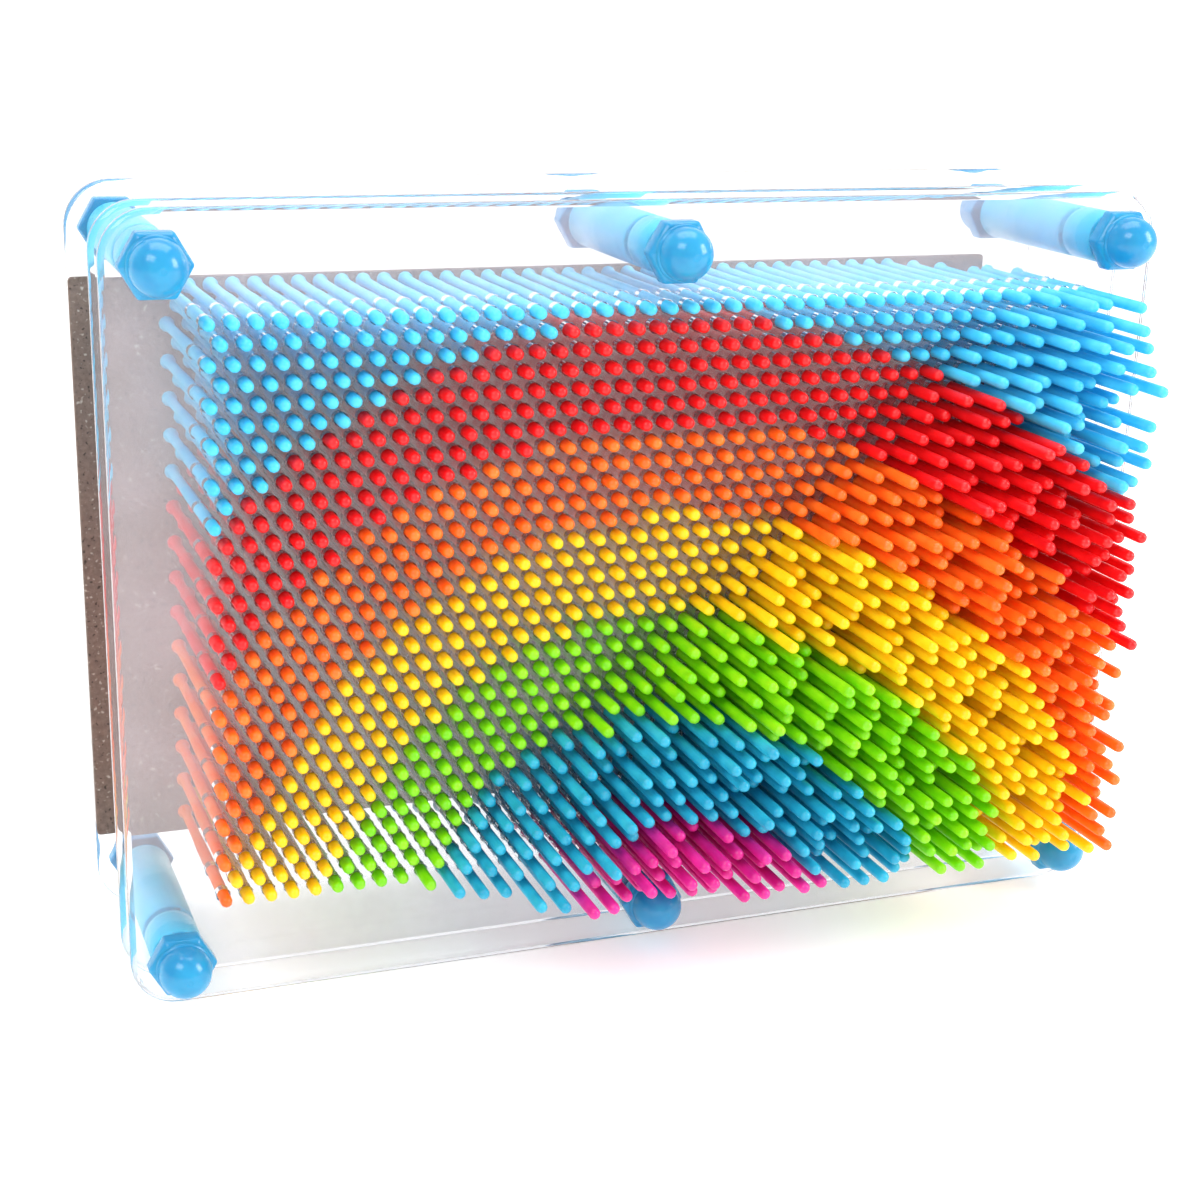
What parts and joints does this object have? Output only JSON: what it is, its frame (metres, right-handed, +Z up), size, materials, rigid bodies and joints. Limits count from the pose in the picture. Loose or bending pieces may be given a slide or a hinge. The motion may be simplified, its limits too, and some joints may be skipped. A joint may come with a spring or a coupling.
{
  "type": "pin art impression toy",
  "caption": "Desk pin art toy: two clear guide plates and a clear cover on six domed posts, filled with loose rainbow plastic pins that slide to copy a shape.",
  "frame": {"origin": "on the standing face, in the middle of the width, under the middle of the rear guide plate", "axes": "+X along the long side, -Y out of the face where the pin tips stand, +Z up"},
  "size_m": [0.2, 0.085, 0.1426],
  "materials": {
    "clear_acrylic": "polished clear acrylic",
    "grey_board": "matt grey pulp board",
    "post_plastic": "glossy moulded sky-blue plastic",
    "pin_sky": "satin sky-blue plastic",
    "pin_red": "satin red plastic",
    "pin_orange": "satin orange plastic",
    "pin_yellow": "satin yellow plastic",
    "pin_green": "satin lime green plastic",
    "pin_blue": "satin cyan-blue plastic",
    "pin_magenta": "satin magenta plastic",
    "rod_metal": "plain steel rod"
  },
  "bodies": {
    "frame": {"cap_nuts_front": "post_plastic", "cap_nuts_rear": "post_plastic", "cover_plate": "clear_acrylic", "guide_plate_front": "clear_acrylic", "guide_plate_rear": "clear_acrylic", "spacers_long": "post_plastic", "spacers_short": "post_plastic", "tie_rods": "rod_metal"},
    "board": {"backing_board": "grey_board"},
    "pins_blue_level_0": {"pins_blue_level_0": "pin_blue"},
    "pins_blue_level_1": {"pins_blue_level_1": "pin_blue"},
    "pins_blue_level_2": {"pins_blue_level_2": "pin_blue"},
    "pins_blue_level_3": {"pins_blue_level_3": "pin_blue"},
    "pins_blue_level_4": {"pins_blue_level_4": "pin_blue"},
    "pins_green_level_0": {"pins_green_level_0": "pin_green"},
    "pins_green_level_1": {"pins_green_level_1": "pin_green"},
    "pins_green_level_2": {"pins_green_level_2": "pin_green"},
    "pins_green_level_3": {"pins_green_level_3": "pin_green"},
    "pins_green_level_4": {"pins_green_level_4": "pin_green"},
    "pins_magenta_level_3": {"pins_magenta_level_3": "pin_magenta"},
    "pins_magenta_level_4": {"pins_magenta_level_4": "pin_magenta"},
    "pins_orange_level_0": {"pins_orange_level_0": "pin_orange"},
    "pins_orange_level_1": {"pins_orange_level_1": "pin_orange"},
    "pins_orange_level_2": {"pins_orange_level_2": "pin_orange"},
    "pins_orange_level_3": {"pins_orange_level_3": "pin_orange"},
    "pins_orange_level_4": {"pins_orange_level_4": "pin_orange"},
    "pins_red_level_0": {"pins_red_level_0": "pin_red"},
    "pins_red_level_1": {"pins_red_level_1": "pin_red"},
    "pins_red_level_2": {"pins_red_level_2": "pin_red"},
    "pins_red_level_3": {"pins_red_level_3": "pin_red"},
    "pins_red_level_4": {"pins_red_level_4": "pin_red"},
    "pins_sky_level_0": {"pins_sky_level_0": "pin_sky"},
    "pins_sky_level_1": {"pins_sky_level_1": "pin_sky"},
    "pins_sky_level_2": {"pins_sky_level_2": "pin_sky"},
    "pins_sky_level_3": {"pins_sky_level_3": "pin_sky"},
    "pins_sky_level_4": {"pins_sky_level_4": "pin_sky"},
    "pins_yellow_level_0": {"pins_yellow_level_0": "pin_yellow"},
    "pins_yellow_level_1": {"pins_yellow_level_1": "pin_yellow"},
    "pins_yellow_level_2": {"pins_yellow_level_2": "pin_yellow"},
    "pins_yellow_level_3": {"pins_yellow_level_3": "pin_yellow"},
    "pins_yellow_level_4": {"pins_yellow_level_4": "pin_yellow"}
  },
  "joints": [
    {"name": "board_slide", "type": "slide", "parent": "frame", "child": "board", "axis": [1, 0, 0], "range_m": [-0.06, 0.012]},
    {"name": "pins_blue_level_0_slide", "type": "slide", "parent": "frame", "child": "pins_blue_level_0", "axis": [0, -1, 0], "range_m": [0, 0.02585]},
    {"name": "pins_blue_level_1_slide", "type": "slide", "parent": "frame", "child": "pins_blue_level_1", "axis": [0, -1, 0], "range_m": [-0.00106, 0.01944]},
    {"name": "pins_blue_level_2_slide", "type": "slide", "parent": "frame", "child": "pins_blue_level_2", "axis": [0, -1, 0], "range_m": [-0.00647, 0.01286]},
    {"name": "pins_blue_level_3_slide", "type": "slide", "parent": "frame", "child": "pins_blue_level_3", "axis": [0, -1, 0], "range_m": [-0.01295, 0.00644]},
    {"name": "pins_blue_level_4_slide", "type": "slide", "parent": "frame", "child": "pins_blue_level_4", "axis": [0, -1, 0], "range_m": [-0.01956, 0.00035]},
    {"name": "pins_green_level_0_slide", "type": "slide", "parent": "frame", "child": "pins_green_level_0", "axis": [0, -1, 0], "range_m": [0, 0.02585]},
    {"name": "pins_green_level_1_slide", "type": "slide", "parent": "frame", "child": "pins_green_level_1", "axis": [0, -1, 0], "range_m": [-0.00035, 0.01995]},
    {"name": "pins_green_level_2_slide", "type": "slide", "parent": "frame", "child": "pins_green_level_2", "axis": [0, -1, 0], "range_m": [-0.00686, 0.01298]},
    {"name": "pins_green_level_3_slide", "type": "slide", "parent": "frame", "child": "pins_green_level_3", "axis": [0, -1, 0], "range_m": [-0.01317, 0.00721]},
    {"name": "pins_green_level_4_slide", "type": "slide", "parent": "frame", "child": "pins_green_level_4", "axis": [0, -1, 0], "range_m": [-0.01954, 0.00035]},
    {"name": "pins_magenta_level_3_slide", "type": "slide", "parent": "frame", "child": "pins_magenta_level_3", "axis": [0, -1, 0], "range_m": [-0.01488, 0.0064]},
    {"name": "pins_magenta_level_4_slide", "type": "slide", "parent": "frame", "child": "pins_magenta_level_4", "axis": [0, -1, 0], "range_m": [-0.01995, 0.00035]},
    {"name": "pins_orange_level_0_slide", "type": "slide", "parent": "frame", "child": "pins_orange_level_0", "axis": [0, -1, 0], "range_m": [0, 0.02585]},
    {"name": "pins_orange_level_1_slide", "type": "slide", "parent": "frame", "child": "pins_orange_level_1", "axis": [0, -1, 0], "range_m": [-0.00098, 0.01984]},
    {"name": "pins_orange_level_2_slide", "type": "slide", "parent": "frame", "child": "pins_orange_level_2", "axis": [0, -1, 0], "range_m": [-0.00791, 0.01299]},
    {"name": "pins_orange_level_3_slide", "type": "slide", "parent": "frame", "child": "pins_orange_level_3", "axis": [0, -1, 0], "range_m": [-0.01347, 0.00654]},
    {"name": "pins_orange_level_4_slide", "type": "slide", "parent": "frame", "child": "pins_orange_level_4", "axis": [0, -1, 0], "range_m": [-0.01946, 0.00035]},
    {"name": "pins_red_level_0_slide", "type": "slide", "parent": "frame", "child": "pins_red_level_0", "axis": [0, -1, 0], "range_m": [0, 0.02585]},
    {"name": "pins_red_level_1_slide", "type": "slide", "parent": "frame", "child": "pins_red_level_1", "axis": [0, -1, 0], "range_m": [-0.00035, 0.01995]},
    {"name": "pins_red_level_2_slide", "type": "slide", "parent": "frame", "child": "pins_red_level_2", "axis": [0, -1, 0], "range_m": [-0.00682, 0.01416]},
    {"name": "pins_red_level_3_slide", "type": "slide", "parent": "frame", "child": "pins_red_level_3", "axis": [0, -1, 0], "range_m": [-0.0132, 0.00674]},
    {"name": "pins_red_level_4_slide", "type": "slide", "parent": "frame", "child": "pins_red_level_4", "axis": [0, -1, 0], "range_m": [-0.01982, 0.00035]},
    {"name": "pins_sky_level_0_slide", "type": "slide", "parent": "frame", "child": "pins_sky_level_0", "axis": [0, -1, 0], "range_m": [0, 0.02585]},
    {"name": "pins_sky_level_1_slide", "type": "slide", "parent": "frame", "child": "pins_sky_level_1", "axis": [0, -1, 0], "range_m": [-0.00046, 0.02003]},
    {"name": "pins_sky_level_2_slide", "type": "slide", "parent": "frame", "child": "pins_sky_level_2", "axis": [0, -1, 0], "range_m": [-0.00685, 0.01285]},
    {"name": "pins_sky_level_3_slide", "type": "slide", "parent": "frame", "child": "pins_sky_level_3", "axis": [0, -1, 0], "range_m": [-0.01323, 0.00683]},
    {"name": "pins_sky_level_4_slide", "type": "slide", "parent": "frame", "child": "pins_sky_level_4", "axis": [0, -1, 0], "range_m": [-0.01968, 0.00035]},
    {"name": "pins_yellow_level_0_slide", "type": "slide", "parent": "frame", "child": "pins_yellow_level_0", "axis": [0, -1, 0], "range_m": [0, 0.02585]},
    {"name": "pins_yellow_level_1_slide", "type": "slide", "parent": "frame", "child": "pins_yellow_level_1", "axis": [0, -1, 0], "range_m": [-0.00051, 0.02037]},
    {"name": "pins_yellow_level_2_slide", "type": "slide", "parent": "frame", "child": "pins_yellow_level_2", "axis": [0, -1, 0], "range_m": [-0.00763, 0.01289]},
    {"name": "pins_yellow_level_3_slide", "type": "slide", "parent": "frame", "child": "pins_yellow_level_3", "axis": [0, -1, 0], "range_m": [-0.01348, 0.00665]},
    {"name": "pins_yellow_level_4_slide", "type": "slide", "parent": "frame", "child": "pins_yellow_level_4", "axis": [0, -1, 0], "range_m": [-0.01994, 0.00035]}
  ]
}
